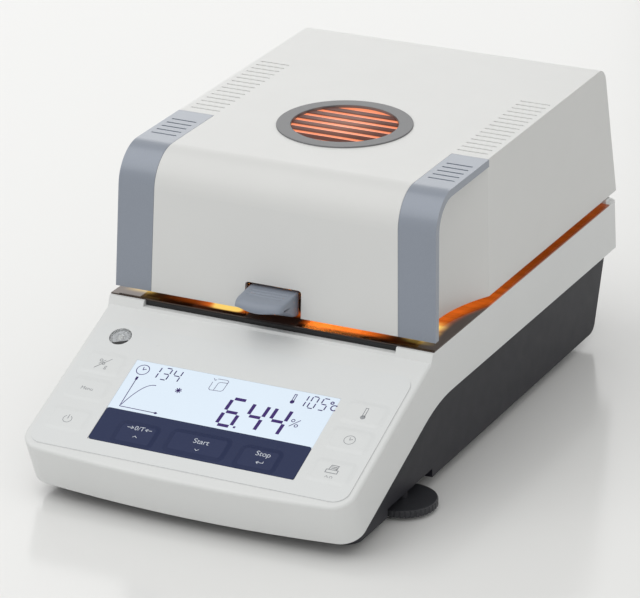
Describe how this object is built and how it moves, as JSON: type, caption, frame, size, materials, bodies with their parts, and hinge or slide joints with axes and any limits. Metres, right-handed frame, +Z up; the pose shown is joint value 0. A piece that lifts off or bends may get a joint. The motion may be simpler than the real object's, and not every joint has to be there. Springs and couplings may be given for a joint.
{
  "type": "halogen moisture analyzer",
  "caption": "Moisture analyzer with a heating lid, a round lid window, a sloped control panel, a weighing pan and levelling thumbwheels.",
  "frame": {"origin": "bottom centre of the overall bounding box, on the table under the feet", "axes": "+X is the instrument's right, -Y is the front with the control panel, +Z is up"},
  "size_m": [0.2356, 0.4011, 0.1798],
  "materials": {
    "housing_white": "fine satin moulding",
    "housing_dark": "fine grained moulding",
    "rubber": "matt",
    "polished_steel": "polished sheet",
    "steel": "brushed sheet",
    "overlay": "printed polyester film",
    "navy": "printed polyester film",
    "display_glass": "clear window over a lit display",
    "module": "moulded frame",
    "circuit_board": "solder mask",
    "cell_aluminium": "milled",
    "vial": "moulded cup",
    "clear_glass": "clear",
    "inlet_black": "moulded",
    "pan_aluminium": "pressed sheet",
    "grip_grey": "satin moulding",
    "lid_white": "fine satin moulding",
    "trim_grey": "satin metallic paint",
    "bezel_grey": "satin metallic paint",
    "grille_steel": "satin",
    "reflector_steel": "polished sheet",
    "quartz": "glowing quartz tube",
    "ceramic": "unglazed ceramic",
    "wheel_dark": "knurled moulding",
    "key_light": "embossed film key",
    "key_navy": "embossed film key"
  },
  "bodies": {
    "base": {"base_upper_housing": "housing_white", "base_lower_housing": "housing_dark", "rear_feet": "rubber", "heat_shield_plate": "polished_steel", "chamber_dish": "steel", "draft_shield_ring": "steel", "control_overlay": "overlay", "key_strip": "navy", "display_window": "display_glass", "display_module": "module", "keypad_board": "circuit_board", "main_board": "circuit_board", "power_supply": "circuit_board", "weighing_cell": "cell_aluminium", "cell_mount": "cell_aluminium", "level_vial": "vial", "level_lens": "clear_glass", "power_inlet": "inlet_black", "serial_port": "steel", "usb_port": "inlet_black", "hinge_brackets": "steel", "hinge_pins": "steel"},
    "weighing": {"pan_support": "steel", "sample_pan": "pan_aluminium"},
    "handler": {"pan_handler": "grip_grey"},
    "lid": {"lid_shell": "lid_white", "left_trim": "trim_grey", "right_trim": "trim_grey", "window_bezel": "bezel_grey", "window_glass": "clear_glass", "window_grille": "grille_steel", "heater_tray": "steel", "reflector": "reflector_steel", "heating_ring": "quartz", "lamp_sockets": "ceramic", "heater_glass": "clear_glass", "glass_clips": "steel", "temperature_sensor": "steel", "hinge_arms": "steel"},
    "left_pad": {"left_foot_pad": "rubber"},
    "right_pad": {"right_foot_pad": "rubber"},
    "left_wheel": {"left_thumbwheel": "wheel_dark"},
    "right_wheel": {"right_thumbwheel": "wheel_dark"},
    "key_units": {"units_key": "key_light"},
    "key_menu": {"menu_key": "key_light"},
    "key_power": {"power_key": "key_light"},
    "key_profile": {"profile_key": "key_light"},
    "key_clock": {"clock_key": "key_light"},
    "key_print": {"print_key": "key_light"},
    "key_tare": {"tare_key": "key_navy"},
    "key_start": {"start_key": "key_navy"},
    "key_stop": {"stop_key": "key_navy"}
  },
  "joints": [
    {"name": "lid_hinge", "type": "hinge", "parent": "base", "child": "lid", "pos_m": [0, 0.19625, 0.0945], "axis": [-1, 0, 0], "range_deg": [0, 70]},
    {"name": "handler_lift", "type": "slide", "parent": "base", "child": "handler", "axis": [0, 0, 1], "range_m": [0, 0.0015]},
    {"name": "weighing_deflection", "type": "slide", "parent": "base", "child": "weighing", "axis": [0, 0, -1], "range_m": [0, 0.0003], "stiffness_N_per_m": 20000},
    {"name": "units_press", "type": "slide", "parent": "base", "child": "key_units", "axis": [0, 0.3875, -0.9219], "range_m": [0, 0.0004], "stiffness_N_per_m": 1500},
    {"name": "menu_press", "type": "slide", "parent": "base", "child": "key_menu", "axis": [0, 0.3875, -0.9219], "range_m": [0, 0.0004], "stiffness_N_per_m": 1500},
    {"name": "power_press", "type": "slide", "parent": "base", "child": "key_power", "axis": [0, 0.3875, -0.9219], "range_m": [0, 0.0004], "stiffness_N_per_m": 1500},
    {"name": "profile_press", "type": "slide", "parent": "base", "child": "key_profile", "axis": [0, 0.3875, -0.9219], "range_m": [0, 0.0004], "stiffness_N_per_m": 1500},
    {"name": "clock_press", "type": "slide", "parent": "base", "child": "key_clock", "axis": [0, 0.3875, -0.9219], "range_m": [0, 0.0004], "stiffness_N_per_m": 1500},
    {"name": "print_press", "type": "slide", "parent": "base", "child": "key_print", "axis": [0, 0.3875, -0.9219], "range_m": [0, 0.0004], "stiffness_N_per_m": 1500},
    {"name": "tare_press", "type": "slide", "parent": "base", "child": "key_tare", "axis": [0, 0.3875, -0.9219], "range_m": [0, 0.0004], "stiffness_N_per_m": 1500},
    {"name": "start_press", "type": "slide", "parent": "base", "child": "key_start", "axis": [0, 0.3875, -0.9219], "range_m": [0, 0.0004], "stiffness_N_per_m": 1500},
    {"name": "stop_press", "type": "slide", "parent": "base", "child": "key_stop", "axis": [0, 0.3875, -0.9219], "range_m": [0, 0.0004], "stiffness_N_per_m": 1500},
    {"name": "left_foot_lift", "type": "slide", "parent": "base", "child": "left_pad", "axis": [0, 0, 1], "range_m": [-0.0025, 0.0025]},
    {"name": "left_foot_turn", "type": "hinge", "parent": "left_pad", "child": "left_wheel", "pos_m": [-0.0975, -0.10745, 0.0045], "axis": [0, 0, 1], "continuous": true},
    {"name": "right_foot_lift", "type": "slide", "parent": "base", "child": "right_pad", "axis": [0, 0, 1], "range_m": [-0.0025, 0.0025]},
    {"name": "right_foot_turn", "type": "hinge", "parent": "right_pad", "child": "right_wheel", "pos_m": [0.0975, -0.10745, 0.0045], "axis": [0, 0, 1], "continuous": true}
  ]
}
